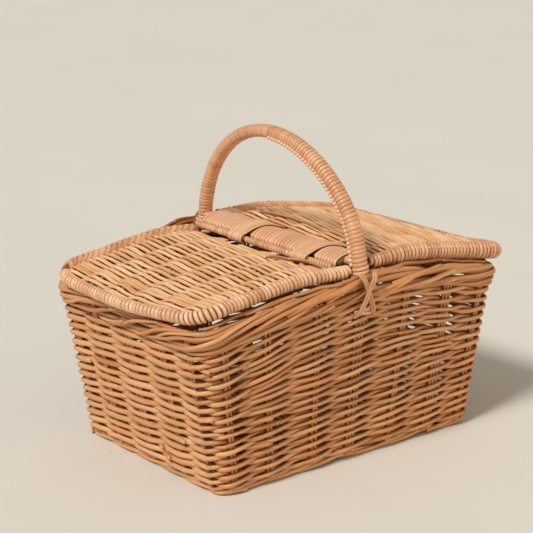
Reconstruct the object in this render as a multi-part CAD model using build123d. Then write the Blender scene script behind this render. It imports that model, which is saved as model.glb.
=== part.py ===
"""Wicker basket with two hinged lids and a fixed arch handle.

Frame: X runs along the basket's length, Y across its width and Z up.
The origin is the middle of the foot's underside. All sizes are in millimetres.
"""
from build123d import *
import math
import os

# ---------------------------------------------------------------- driving sizes
FOOT_LENGTH = 356.0
FOOT_WIDTH = 244.0
FOOT_CORNER = 16.0
FOOT_HEIGHT = 9.0
FOOT_THICKNESS = 9.0

WALL_THICKNESS = 12.0
WALL_FOOT_OVERHANG = 4.0
WALL_FOOT_CORNER = 20.0

RIM_LENGTH = 426.0
RIM_WIDTH = 278.0
RIM_CORNER = 30.0
RIM_THICKNESS = 17.0
RIM_BAND_HEIGHT = 27.0
RIM_SIDE_BOW = 7.7
RIM_END_BOW = 2.5
RIM_MEASURE_Z = 169.0
RIM_CORNER_SPREAD = 1.0
RIM_TOP_MIDDLE_Z = 203.2
RIM_TOP_END_Z = 182.4
COURSE_GAP = 0.2

LOFT_TOP_Z = 206.0

LID_ROLL_DIAMETER = 17.0
LID_CORE_DIAMETER = 10.0
LID_END_X = 215.0
LID_CORNER = 32.0
LID_END_BOW_ANGLE = 3.8
LID_HINGE_Y = 128.8
LID_END_Y = 121.5
LID_CROWN_Z = 218.3
LID_END_Z = 191.3
LID_ROLL_START_X = 13.5
LID_ROLL_END_FILLET = 4.5
LID_WEAVE_THICKNESS = 7.0
LID_RIB_DIAMETER = 5.0
LID_RIB_Y = (-102.0, -65.0, -26.0, 17.0, 61.0, 102.0)
LID_RIB_START_X = 36.5
LID_CORE_SETBACK = 2.0
LID_SHEET_REACH = 2.0

HINGE_X = 26.5
HINGE_Z = 217.5
HINGE_ROD_DIAMETER = 7.5
HINGE_CLEARANCE = 0.05
HINGE_LOOP_WIDTH = 24.0
HINGE_LOOP_WALL = 2.4
HINGE_LOOP_Y = (-67.0, 41.0)
HINGE_NOTCH_DEPTH = 8.0
HINGE_NOTCH_SIDE = 1.5

BAR_WIDTH = 43.6
BAR_HEIGHT = 12.0
BAR_BOTTOM_Z = 215.5
BAR_HALF_LENGTH = 117.0
BAR_WRAP = 2.0
BAR_CROWN = 4.5
BAR_FILLET = 1.5
BAR_TONGUE_WIDTH = 16.0
BAR_TONGUE_HEIGHT = 6.0

HANDLE_FOOT_Y = 136.0
HANDLE_FOOT_Z = 217.5
HANDLE_RISE = 121.7
HANDLE_CROWN_Y = 6.0
HANDLE_LEAN = 3.9
HANDLE_FULLNESS = 0.69
HANDLE_WIDTH = 17.0
HANDLE_DEPTH = 14.0
HANDLE_ROUNDING = 6.5
HANDLE_CORE_WIDTH = 12.0
HANDLE_CORE_DEPTH = 8.0
HANDLE_CORE_ROUNDING = 3.4
HANDLE_ENTRY_RADIUS = 80.0
HANDLE_TAIL_LENGTH = 75.0
HANDLE_WRAP_TAIL = 11.5

LASHING_WALL = 1.2
LASHING_HEIGHT = 8.0
CROSS_STRIP_WIDTH = 4.0
CROSS_STRIP_THICKNESS = 1.6
CROSS_STRIP_LENGTH = 34.0
CROSS_STRIP_ANGLE = 18.0
CROSS_STRIP_GAP = 0.1

STAKE_DIAMETER = 3.4
STAKE_PAIR_PITCH = 4.0
STAKE_CORNER_ROOM = 10.0
SIDE_STAKES_X = (-172.0, -121.0, -60.0, -14.0, 60.0, 120.0, 172.0)
END_STAKES_Y = (-104.0, -58.0, 0.0, 58.0, 104.0)
CORNER_POST_DIAMETER = 6.0

BASE_UNDERSIDE_Z = 3.0
BASE_TOP_Z = 10.5
BASE_STICK_DIAMETER = 5.0
BASE_STICK_COUNT = 5
BASE_STICK_PITCH = 42.0
BASE_STICK_HALF_LENGTH = 166.0

FAR = 600.0
SLAB_REACH = 300.0
SLAB_HALF_WIDTH = 200.0
PRISM_BOTTOM_Z = 150.0
PRISM_HEIGHT = 100.0

# ---------------------------------------------------------------- worked-out sizes
HALF_WALL = WALL_THICKNESS / 2
HALF_RIM = RIM_THICKNESS / 2
WALL_RISE = RIM_MEASURE_Z - FOOT_HEIGHT
LOFT_SCALE = (LOFT_TOP_Z - FOOT_HEIGHT) / WALL_RISE


class Level:
    """The wall's middle line at one height: a rounded rectangle with bowed sides."""

    def __init__(self, z, half_x, half_y, radius, side_bow=0.0, end_bow=0.0):
        self.z = z
        self.half_x = half_x
        self.half_y = half_y
        self.radius = radius
        self.side_bow = side_bow
        self.end_bow = end_bow

    def side(self, k):
        """Half length along side k, distance out to it, and its bow. 0 is the front."""
        if k % 2 == 0:
            return self.half_x - self.radius, self.half_y, self.side_bow
        return self.half_y - self.radius, self.half_x, self.end_bow


def wall_levels():
    """Middle lines of the wall at the foot and at the plane above the rim."""
    low_x = FOOT_LENGTH / 2 + WALL_FOOT_OVERHANG - HALF_WALL
    low_y = FOOT_WIDTH / 2 + WALL_FOOT_OVERHANG - HALF_WALL
    rim_x = RIM_LENGTH / 2 - HALF_RIM
    rim_y = RIM_WIDTH / 2 - HALF_RIM
    low = Level(FOOT_HEIGHT, low_x, low_y, WALL_FOOT_CORNER - HALF_WALL)
    high = Level(
        LOFT_TOP_Z,
        low_x + (rim_x - low_x) * LOFT_SCALE,
        low_y + (rim_y - low_y) * LOFT_SCALE,
        RIM_CORNER - HALF_RIM + RIM_CORNER_SPREAD,
        RIM_SIDE_BOW,
        RIM_END_BOW,
    )
    return low, high


LOW, HIGH = wall_levels()


def outward(k):
    """Unit vectors out of side k and along it, going round anticlockwise."""
    angle = math.radians(90.0 * k - 90.0)
    out = Vector(math.cos(angle), math.sin(angle), 0)
    along = Vector(-math.sin(angle), math.cos(angle), 0)
    return out, along


def side_edge(level, k, offset, reverse=False):
    """One side of the outline at an offset from the middle line."""
    half, distance, bow = level.side(k)
    out, along = outward(k)
    height = Vector(0, 0, level.z)
    start = out * (distance + offset) - along * half + height
    end = out * (distance + offset) + along * half + height
    middle = out * (distance + offset + bow) + height
    if reverse:
        start, end = end, start
    if bow == 0.0:
        return Edge.make_line(start, end)
    return Edge.make_three_point_arc(start, middle, end)


def corner_edge(level, k, offset, reverse=False):
    """The rounded corner between side k and the next side."""
    half, distance, _ = level.side(k)
    out, along = outward(k)
    centre = along * half + out * (distance - level.radius) + Vector(0, 0, level.z)
    radius = level.radius + offset
    diagonal = (out + along) * math.sqrt(0.5)
    start = centre + out * radius
    end = centre + along * radius
    if reverse:
        start, end = end, start
    return Edge.make_three_point_arc(start, centre + diagonal * radius, end)


def band_wire(level, k, edge, inner, outer):
    """Closed outline of one stretch of wall, between two offsets."""
    outside = edge(level, k, outer)
    inside = edge(level, k, inner, reverse=True)
    first = Edge.make_line(outside @ 1, inside @ 0)
    last = Edge.make_line(inside @ 1, outside @ 0)
    return Wire([outside, first, inside, last])


def band_solid(k, edge, inner, outer):
    """A straight-lined stretch of wall from the foot up to the plane above the rim."""
    wires = [band_wire(level, k, edge, inner, outer) for level in (LOW, HIGH)]
    return Solid.make_loft(wires, ruled=True)


def outline_wire(level, offset):
    """The whole outline at an offset from the middle line."""
    edges = []
    for k in range(4):
        edges.append(side_edge(level, k, offset))
        edges.append(corner_edge(level, k, offset))
    return Wire(edges)


def arch_radius(half_span, sag):
    """Radius of an arc from its half span and its sag."""
    return (half_span ** 2 + sag ** 2) / (2 * sag)


def arch_z(x, crown, radius):
    """Height of an arch over X."""
    return crown - radius + math.sqrt(radius ** 2 - x ** 2)


def arch_edge(crown, radius):
    """An arch in the XZ plane, wider than the basket."""
    end_z = arch_z(SLAB_REACH, crown, radius)
    return Edge.make_three_point_arc(
        (-SLAB_REACH, 0, end_z), (0, 0, crown), (SLAB_REACH, 0, end_z)
    )


def arch_slab(low_crown, low_radius, high_crown, high_radius):
    """Everything between two arches that run across the whole width."""
    top = arch_edge(high_crown, high_radius)
    if low_radius is None:
        low = Edge.make_line((-SLAB_REACH, 0, low_crown), (SLAB_REACH, 0, low_crown))
    else:
        low = arch_edge(low_crown, low_radius)
    left = Edge.make_line(low @ 0, top @ 0)
    right = Edge.make_line(low @ 1, top @ 1)
    face = Face(Wire([low, right, top, left]))
    return extrude(face, SLAB_HALF_WIDTH, dir=(0, 1, 0), both=True)


def only_solids(shape):
    """The solids of a shape, as a list, whatever a boolean returned."""
    return list(shape.solids())


def one(shape):
    """The largest solid of a shape."""
    return max(only_solids(shape), key=lambda solid: solid.volume)


def save(name, shapes):
    """Write one node: a single solid, or a group of separate solids."""
    if not isinstance(shapes, (list, tuple)):
        shapes = [shapes]
    solids = []
    for shape in shapes:
        solids += only_solids(shape)
    node = solids[0] if len(solids) == 1 else Compound(solids)
    node.label = name
    export_step(node, f"parts/{name}.step")


# ---------------------------------------------------------------- rim arches
RIM_RADIUS = arch_radius(RIM_LENGTH / 2, RIM_TOP_MIDDLE_Z - RIM_TOP_END_Z)
RIM_BOTTOM_MIDDLE_Z = RIM_TOP_MIDDLE_Z - RIM_BAND_HEIGHT
LID_RADIUS = arch_radius(LID_END_X, LID_CROWN_Z - LID_END_Z)


# ---------------------------------------------------------------- handle
def half_arch(side):
    """Edges of half the handle in the YZ plane, from the crown down into the wall."""
    reach = HANDLE_FOOT_Y - side * HANDLE_CROWN_Y
    crown_z = HANDLE_FOOT_Z + HANDLE_RISE
    shoulder_y = reach * HANDLE_FULLNESS
    shoulder_drop = HANDLE_RISE * (1 - HANDLE_FULLNESS)
    top_radius = (shoulder_y ** 2 + shoulder_drop ** 2) / (2 * shoulder_drop)
    slope = math.asin(shoulder_y / top_radius)
    fall_y = reach - shoulder_y
    fall_z = HANDLE_RISE * HANDLE_FULLNESS
    chord = math.atan2(fall_z, fall_y)
    foot_slope = 2 * chord - slope

    def point(y, z):
        return Vector(0, HANDLE_CROWN_Y + side * y, z)

    half_slope = slope / 2
    crown = point(0, crown_z)
    top_middle = point(top_radius * math.sin(half_slope), crown_z - top_radius * (1 - math.cos(half_slope)))
    shoulder = point(shoulder_y, crown_z - shoulder_drop)
    top_arc = Edge.make_three_point_arc(crown, top_middle, shoulder)

    leg_turn = foot_slope - slope
    leg_radius = math.hypot(fall_y, fall_z) / (2 * math.sin(leg_turn / 2))
    centre_y = shoulder_y - leg_radius * math.sin(slope)
    centre_z = crown_z - shoulder_drop - leg_radius * math.cos(slope)
    middle_slope = slope + leg_turn / 2
    leg_middle = point(
        centre_y + leg_radius * math.sin(middle_slope),
        centre_z + leg_radius * math.cos(middle_slope),
    )
    foot = point(reach, HANDLE_FOOT_Z)
    leg_arc = Edge.make_three_point_arc(shoulder, leg_middle, foot)

    wall_slope = math.pi / 2 + math.atan(wall_lean())
    centre_y = reach - HANDLE_ENTRY_RADIUS * math.sin(foot_slope)
    centre_z = HANDLE_FOOT_Z - HANDLE_ENTRY_RADIUS * math.cos(foot_slope)
    middle_slope = (foot_slope + wall_slope) / 2
    entry_middle = point(
        centre_y + HANDLE_ENTRY_RADIUS * math.sin(middle_slope),
        centre_z + HANDLE_ENTRY_RADIUS * math.cos(middle_slope),
    )
    entry = point(
        centre_y + HANDLE_ENTRY_RADIUS * math.sin(wall_slope),
        centre_z + HANDLE_ENTRY_RADIUS * math.cos(wall_slope),
    )
    entry_arc = Edge.make_three_point_arc(foot, entry_middle, entry)
    step = Vector(0, side * math.cos(wall_slope), -math.sin(wall_slope))
    tail = Edge.make_line(entry, entry + step * HANDLE_TAIL_LENGTH)
    return top_arc, leg_arc, entry_arc, tail


def wall_lean():
    """How far the long walls lean out for each millimetre up, at mid length."""
    rise = HIGH.z - LOW.z
    return (HIGH.half_y + HIGH.side_bow - LOW.half_y) / rise


def lean(shape):
    """Lean the handle about the line through its two feet."""
    axis = Axis((0, 0, HANDLE_FOOT_Z), (0, 1, 0))
    return shape.rotate(axis, -HANDLE_LEAN)


def handle_sweep(width, depth, rounding, with_tails):
    """A rounded strip swept along the handle, with or without its tails in the wall."""
    back = half_arch(1)
    front = half_arch(-1)
    count = 4 if with_tails else 3
    edges = [edge for edge in reversed(front[:count])] + list(back[:count])
    path = Wire(edges)
    start = path @ 0
    plane = Plane(origin=start, x_dir=(1, 0, 0), z_dir=path % 0)
    section = plane * RectangleRounded(width, depth, rounding)
    return one(sweep(section, path=path))


def make_handle():
    """The core bow, whose tails run down into the walls, and the cane wrapping round it."""
    core = handle_sweep(HANDLE_CORE_WIDTH, HANDLE_CORE_DEPTH, HANDLE_CORE_ROUNDING, True)
    outer = handle_sweep(HANDLE_WIDTH, HANDLE_DEPTH, HANDLE_ROUNDING, False)
    above = Pos(0, 0, HANDLE_FOOT_Z - HANDLE_WRAP_TAIL + FAR / 2) * Box(FAR, FAR, FAR)
    wrap = one(outer & above) - core
    return lean(core), lean(one(wrap)), lean(one(outer))


# ---------------------------------------------------------------- lids
def lid_frame_path(start_x):
    """Centre line of the right lid's bent frame, from one hinge end round to the other."""
    slope_y = (LID_HINGE_Y - LID_END_Y) / LID_END_X

    def side_point(x):
        return Vector(x, -(LID_HINGE_Y - slope_y * x), arch_z(x, LID_CROWN_Z, LID_RADIUS))

    bend_x = LID_END_X - LID_CORNER
    first = Edge.make_three_point_arc(
        side_point(start_x), side_point((start_x + bend_x) / 2), side_point(bend_x)
    )
    bend = first @ 1
    heading = first % 1
    across = Vector(0, 1, 0)
    ahead = (heading - across * heading.dot(across)).normalized()
    turn_in = math.asin(heading.dot(across))
    bow = math.radians(LID_END_BOW_ANGLE)
    turn_out = math.pi / 2 - bow
    centre_u = -LID_CORNER * math.sin(turn_in)
    centre_v = LID_CORNER * math.cos(turn_in)

    def corner_point(angle):
        u = centre_u + LID_CORNER * math.sin(angle)
        v = centre_v - LID_CORNER * math.cos(angle)
        return bend + ahead * u + across * v

    corner_end = corner_point(turn_out)
    corner = Edge.make_three_point_arc(bend, corner_point((turn_in + turn_out) / 2), corner_end)
    bulge = -corner_end.Y * math.tan(bow / 2)
    tip = corner_end + ahead * bulge
    tip = Vector(tip.X, 0, tip.Z)

    def mirrored(point):
        return Vector(point.X, -point.Y, point.Z)

    end = Edge.make_three_point_arc(corner_end, tip, mirrored(corner_end))
    corner_back = Edge.make_three_point_arc(
        mirrored(corner_end), mirrored(corner_point((turn_in + turn_out) / 2)), mirrored(bend)
    )
    last = Edge.make_three_point_arc(
        mirrored(bend), mirrored(side_point((start_x + bend_x) / 2)), mirrored(side_point(start_x))
    )
    return Wire([first, corner, end, corner_back, last])


def tube(path, diameter):
    """A round rod along a path."""
    plane = Plane(origin=path @ 0, z_dir=path % 0)
    return one(sweep(plane * Circle(diameter / 2), path=path))


def lid_plan(inset):
    """The right lid's plan inside its frame, as a tall prism."""
    half_hinge = LID_HINGE_Y - inset
    half_end = LID_END_Y - inset
    far_x = LID_END_X - inset + LID_SHEET_REACH
    corners = [(HINGE_X, -half_hinge), (far_x, -half_end), (far_x, half_end), (HINGE_X, half_hinge)]
    outline = Polyline(*[(x, y, PRISM_BOTTOM_Z) for x, y in corners], close=True)
    return extrude(make_face(outline), PRISM_HEIGHT, dir=(0, 0, 1))


def make_lid():
    """All the pieces of the right lid, at rest."""
    roll = tube(lid_frame_path(LID_ROLL_START_X), LID_ROLL_DIAMETER)
    ends = roll.faces().filter_by(GeomType.PLANE)
    roll = fillet(ends.edges(), LID_ROLL_END_FILLET)
    roll = one(roll)
    core = tube(lid_frame_path(LID_ROLL_START_X + LID_CORE_SETBACK), LID_CORE_DIAMETER)
    wrap = one(roll - core)

    rod = Rot(90, 0, 0) * Cylinder(HINGE_ROD_DIAMETER / 2, 2 * LID_HINGE_Y)
    hinge_rod = one(Pos(HINGE_X, 0, HINGE_Z) * rod - roll)

    half = LID_WEAVE_THICKNESS / 2
    sheet = arch_slab(LID_CROWN_Z - half, LID_RADIUS - half, LID_CROWN_Z + half, LID_RADIUS + half)
    weave = sheet & lid_plan(0.0)
    weave = weave - roll - hinge_rod
    for loop_y in HINGE_LOOP_Y:
        notch = Box(2 * HINGE_NOTCH_DEPTH, HINGE_LOOP_WIDTH + 2 * HINGE_NOTCH_SIDE, PRISM_HEIGHT)
        weave = weave - Pos(HINGE_X, loop_y, HINGE_Z) * notch
    ribs = []
    start_z = arch_z(LID_RIB_START_X, LID_CROWN_Z, LID_RADIUS)
    middle_x = (LID_RIB_START_X + LID_END_X) / 2
    middle_z = arch_z(middle_x, LID_CROWN_Z, LID_RADIUS)
    for y in LID_RIB_Y:
        line = Edge.make_three_point_arc(
            (LID_RIB_START_X, y, start_z), (middle_x, y, middle_z), (LID_END_X, y, LID_END_Z)
        )
        rib = one(tube(Wire([line]), LID_RIB_DIAMETER) - roll)
        ribs.append(rib)
        weave = weave - rib
    return {
        "frame": core,
        "frame_wrap": wrap,
        "hinge_rod": hinge_rod,
        "ribs": ribs,
        "weave": one(weave),
    }


# ---------------------------------------------------------------- centre bar
def bar_block(shrink, length, y):
    """A stretch of bar with a crowned top, shrunk all round by a thickness."""
    half = BAR_WIDTH / 2 - shrink
    bottom = BAR_BOTTOM_Z + shrink
    top = BAR_BOTTOM_Z + BAR_HEIGHT - shrink
    shoulder = top - BAR_CROWN
    place = y - length / 2
    low_left, low_right = (-half, place, bottom), (half, place, bottom)
    high_left, high_right = (-half, place, shoulder), (half, place, shoulder)
    sides = [
        Edge.make_line(high_left, low_left),
        Edge.make_line(low_left, low_right),
        Edge.make_line(low_right, high_right),
        Edge.make_three_point_arc(high_right, (0, place, top), high_left),
    ]
    block = extrude(Face(Wire(sides)), length, dir=(0, 1, 0))
    return fillet(block.edges().filter_by(Axis.Y), BAR_FILLET)


def make_centre_bar(handle_outer):
    """The bar's core, its wrapping in three lengths, and the two hinge loops."""
    core = bar_block(BAR_WRAP, 2 * BAR_HALF_LENGTH, 0)
    tongue_z = BAR_BOTTOM_Z + BAR_WRAP + BAR_TONGUE_HEIGHT / 2
    tongue = Pos(0, 0, tongue_z) * Box(BAR_TONGUE_WIDTH, 2 * HANDLE_FOOT_Y, BAR_TONGUE_HEIGHT)
    core = one((core + tongue) - handle_outer)

    half_loop = HINGE_LOOP_WIDTH / 2
    stops = [-BAR_HALF_LENGTH]
    for loop_y in HINGE_LOOP_Y:
        stops += [loop_y - half_loop, loop_y + half_loop]
    stops.append(BAR_HALF_LENGTH)
    wraps = []
    for start, end in zip(stops[0::2], stops[1::2]):
        wraps.append(one(bar_block(0.0, end - start, (start + end) / 2) - core))

    bore = HINGE_ROD_DIAMETER / 2 + HINGE_CLEARANCE
    loops = []
    for loop_y in HINGE_LOOP_Y:
        block = bar_block(0.0, HINGE_LOOP_WIDTH, loop_y)
        places = [Pos(x, loop_y, HINGE_Z) * Rot(90, 0, 0) for x in (-HINGE_X, HINGE_X)]
        for place in places:
            block = block + place * Cylinder(bore + HINGE_LOOP_WALL, HINGE_LOOP_WIDTH)
        for place in places:
            block = block - place * Cylinder(bore, 2 * HINGE_LOOP_WIDTH)
        loops.append(one(block - core))
    return core, wraps, loops


# ---------------------------------------------------------------- walls
def stake_line(k, position, reference):
    """A line up the wall's middle at a place along side k, given at the rim."""
    share = position / reference
    points = []
    for level in (LOW, HIGH):
        half, distance, bow = level.side(k)
        out, along = outward(k)
        s = share * half
        points.append(out * (distance + bow * (1 - share ** 2)) + along * s + Vector(0, 0, level.z))
    return points


def rod_between(start, end, diameter):
    """A round rod from one point to another."""
    span = end - start
    plane = Plane(origin=start, z_dir=span)
    return extrude(plane * Circle(diameter / 2), span.length)


def side_stakes(k, under_rim):
    """Pairs of stakes up one side."""
    places = SIDE_STAKES_X if k % 2 == 0 else END_STAKES_Y
    reference = max(places) + STAKE_CORNER_ROOM
    direction = 1 if k < 2 else -1
    rods = []
    for place in places:
        for shift in (-0.5, 0.5):
            position = direction * place + shift * STAKE_PAIR_PITCH
            start, end = stake_line(k, position, reference)
            rods.append(one(rod_between(start, end, STAKE_DIAMETER) & under_rim))
    return rods


def corner_post(k, under_rim):
    """The thick post in the corner between side k and the next."""
    points = []
    for level in (LOW, HIGH):
        half, distance, _ = level.side(k)
        out, along = outward(k)
        centre = along * half + out * (distance - level.radius)
        diagonal = (out + along) * math.sqrt(0.5)
        points.append(centre + diagonal * level.radius + Vector(0, 0, level.z))
    return one(rod_between(points[0], points[1], CORNER_POST_DIAMETER) & under_rim)


def make_body(handle_core):
    """Walls with their stakes and posts, and the two courses of the rim."""
    under_rim = arch_slab(FOOT_HEIGHT, None, RIM_BOTTOM_MIDDLE_Z, RIM_RADIUS - RIM_BAND_HEIGHT)
    names = ("front", "right", "back", "left")
    pieces = {}
    corners = []
    posts = []
    for k, name in enumerate(names):
        stakes = side_stakes(k, under_rim)
        panel = band_solid(k, side_edge, -HALF_WALL, HALF_WALL) & under_rim
        for stake in stakes:
            panel = panel - stake
        if k % 2 == 0:
            panel = panel - handle_core
        pieces[f"wall_weave_{name}"] = one(panel)
        pieces[f"stakes_{name}"] = stakes
        post = corner_post(k, under_rim)
        corner = band_solid(k, corner_edge, -HALF_WALL, HALF_WALL) & under_rim
        corners.append(one(corner - post))
        posts.append(post)
    pieces["wall_weave_corners"] = corners
    pieces["corner_posts"] = posts

    outer = Solid.make_loft([outline_wire(level, HALF_RIM) for level in (LOW, HIGH)], ruled=True)
    inner = Solid.make_loft([outline_wire(level, -HALF_RIM) for level in (LOW, HIGH)], ruled=True)
    shell = outer - inner
    half_band = RIM_BAND_HEIGHT / 2
    for name, drop in (("rim_border_lower", RIM_BAND_HEIGHT), ("rim_border_upper", half_band)):
        top_drop = drop - half_band + (COURSE_GAP if name == "rim_border_lower" else 0.0)
        low_z, high_z = RIM_TOP_MIDDLE_Z - drop, RIM_TOP_MIDDLE_Z - top_drop
        slab = arch_slab(low_z, RIM_RADIUS - drop, high_z, RIM_RADIUS - top_drop)
        ring = shell & slab
        pieces[name] = one(ring - handle_core)
    return pieces


# ---------------------------------------------------------------- base
def rounded_plate(length, width, corner, bottom_z, top_z):
    """A flat plate with rounded corners."""
    plane = Plane(origin=(0, 0, bottom_z))
    return extrude(plane * RectangleRounded(length, width, corner), top_z - bottom_z)


def make_base():
    """The foot border, the woven bottom and the sticks through it."""
    inner_length = FOOT_LENGTH - 2 * FOOT_THICKNESS
    inner_width = FOOT_WIDTH - 2 * FOOT_THICKNESS
    inner_corner = FOOT_CORNER - FOOT_THICKNESS
    ring = rounded_plate(FOOT_LENGTH, FOOT_WIDTH, FOOT_CORNER, 0, FOOT_HEIGHT)
    hole = rounded_plate(inner_length, inner_width, inner_corner, -1, FOOT_HEIGHT + 1)
    border = one(ring - hole)
    plate = rounded_plate(inner_length, inner_width, inner_corner, BASE_UNDERSIDE_Z, BASE_TOP_Z)
    sticks = []
    middle_z = (BASE_UNDERSIDE_Z + BASE_TOP_Z) / 2
    for index in range(BASE_STICK_COUNT):
        y = (index - (BASE_STICK_COUNT - 1) / 2) * BASE_STICK_PITCH
        place = Pos(0, y, middle_z) * Rot(0, 90, 0)
        stick = place * Cylinder(BASE_STICK_DIAMETER / 2, 2 * BASE_STICK_HALF_LENGTH)
        sticks.append(stick)
        plate = plate - stick
    return border, one(plate), sticks


# ---------------------------------------------------------------- lashings
def foot_lashing(side, handle_outer):
    """A band of cane turns round one foot of the handle."""
    wide = HANDLE_WIDTH + 2 * LASHING_WALL
    deep = HANDLE_DEPTH + 2 * LASHING_WALL
    outer = handle_sweep(wide, deep, HANDLE_ROUNDING + LASHING_WALL, False)
    low = HANDLE_FOOT_Z - HANDLE_WRAP_TAIL
    keep = Pos(0, side * FAR / 2, low + LASHING_HEIGHT / 2) * Box(FAR, FAR, LASHING_HEIGHT)
    return one(one(lean(one(outer & keep))) - handle_outer)


def cross_lashing(side, shapes):
    """Crossed strips of split cane on the rim's outer face below one foot."""
    tilt = math.degrees(math.atan(wall_lean()))
    middle_z = RIM_TOP_MIDDLE_Z - RIM_BAND_HEIGHT / 2
    share = (middle_z - LOW.z) / (HIGH.z - LOW.z)
    face_y = LOW.half_y + (HIGH.half_y + HIGH.side_bow - LOW.half_y) * share + HALF_RIM
    strips = []
    for number, angle in enumerate((-CROSS_STRIP_ANGLE, CROSS_STRIP_ANGLE)):
        lift = (number + 0.5) * CROSS_STRIP_THICKNESS
        strip = Box(CROSS_STRIP_WIDTH, CROSS_STRIP_THICKNESS, CROSS_STRIP_LENGTH)
        strip = Rot(0, angle, 0) * strip
        place = Pos(0, side * (face_y + lift + CROSS_STRIP_GAP), middle_z) * Rot(-side * tilt, 0, 0)
        strip = place * strip
        for shape in shapes:
            strip = strip - shape
        strips.append(one(strip))
    strips[1] = one(strips[1] - strips[0])
    return strips


# ---------------------------------------------------------------- build
def main():
    os.makedirs("parts", exist_ok=True)
    handle_core, handle_wrap, handle_outer = make_handle()
    save("handle_core", handle_core)
    save("handle_wrap", handle_wrap)

    border, base_weave, base_sticks = make_base()
    save("foot_border", border)
    save("base_weave", base_weave)
    save("base_sticks", base_sticks)

    body = make_body(handle_core)
    for name, shapes in body.items():
        save(name, shapes)

    bar_core, bar_wraps, loops = make_centre_bar(handle_outer)
    save("centre_bar_core", bar_core)
    save("centre_bar_wrap", bar_wraps)
    save("hinge_loop_front", loops[0])
    save("hinge_loop_back", loops[1])

    rim = [body["rim_border_upper"], body["rim_border_lower"]]
    for name, side in (("front", -1), ("back", 1)):
        save(f"foot_lashing_{name}", foot_lashing(side, handle_outer))
        save(f"cross_lashing_{name}", cross_lashing(side, rim))

    lid = make_lid()
    for part, shapes in lid.items():
        group = shapes if isinstance(shapes, list) else [shapes]
        save(f"right_lid_{part}", group)
        save(f"left_lid_{part}", [shape.mirror(Plane.YZ) for shape in group])


main()
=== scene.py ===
"""Looks of a wicker basket with two hinged lids and a fixed arch handle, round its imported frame.

Metres. X runs along the basket, Y across it and Z up; the origin is under the middle of the foot.
Every rod, strip and stake is its own swept mesh, gathered into one piece for each part it stands for.
"""
from math import asin, atan, atan2, cos, hypot, pi, radians, sin, sqrt, tan

import bpy
import numpy as np
from mathutils import Matrix, Vector


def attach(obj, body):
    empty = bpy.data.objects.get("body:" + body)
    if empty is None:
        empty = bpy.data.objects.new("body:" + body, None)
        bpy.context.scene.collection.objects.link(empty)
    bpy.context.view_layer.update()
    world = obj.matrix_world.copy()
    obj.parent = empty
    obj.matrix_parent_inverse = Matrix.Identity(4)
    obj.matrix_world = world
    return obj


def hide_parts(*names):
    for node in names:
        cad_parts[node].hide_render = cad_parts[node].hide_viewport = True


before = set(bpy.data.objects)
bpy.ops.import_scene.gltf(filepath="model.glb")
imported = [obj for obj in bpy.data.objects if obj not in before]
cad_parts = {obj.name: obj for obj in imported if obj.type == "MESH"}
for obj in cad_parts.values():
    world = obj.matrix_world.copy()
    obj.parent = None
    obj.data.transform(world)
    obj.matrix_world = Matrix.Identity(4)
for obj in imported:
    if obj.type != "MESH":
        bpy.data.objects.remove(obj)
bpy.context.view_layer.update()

TAU = 2 * pi

# ---- rod sections
ROUND = [(cos(TAU * (k + 0.5) / 8), sin(TAU * (k + 0.5) / 8)) for k in range(8)]
CANE = [(-0.9, -0.7), (0.9, -0.7), (1.0, 0.1), (0.66, 0.78), (0.0, 1.0), (-0.66, 0.78), (-1.0, 0.1)]
END_BLUNTNESS = 0.25
CUT_FACE = 0.95


def unit(vectors):
    """Each row scaled to length 1."""
    return vectors / (np.linalg.norm(vectors, axis=1)[:, None] + 1e-12)


def square_to(vectors, tangent):
    """Unit rows of vectors, with their part along tangent taken out."""
    vectors = np.broadcast_to(np.asarray(vectors, float), tangent.shape)
    return unit(vectors - tangent * (vectors * tangent).sum(1)[:, None])


def distance_along(line):
    """Distance along a line at each of its points."""
    return np.concatenate([[0.0], np.cumsum(np.linalg.norm(np.diff(line, axis=0), axis=1))])


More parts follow.
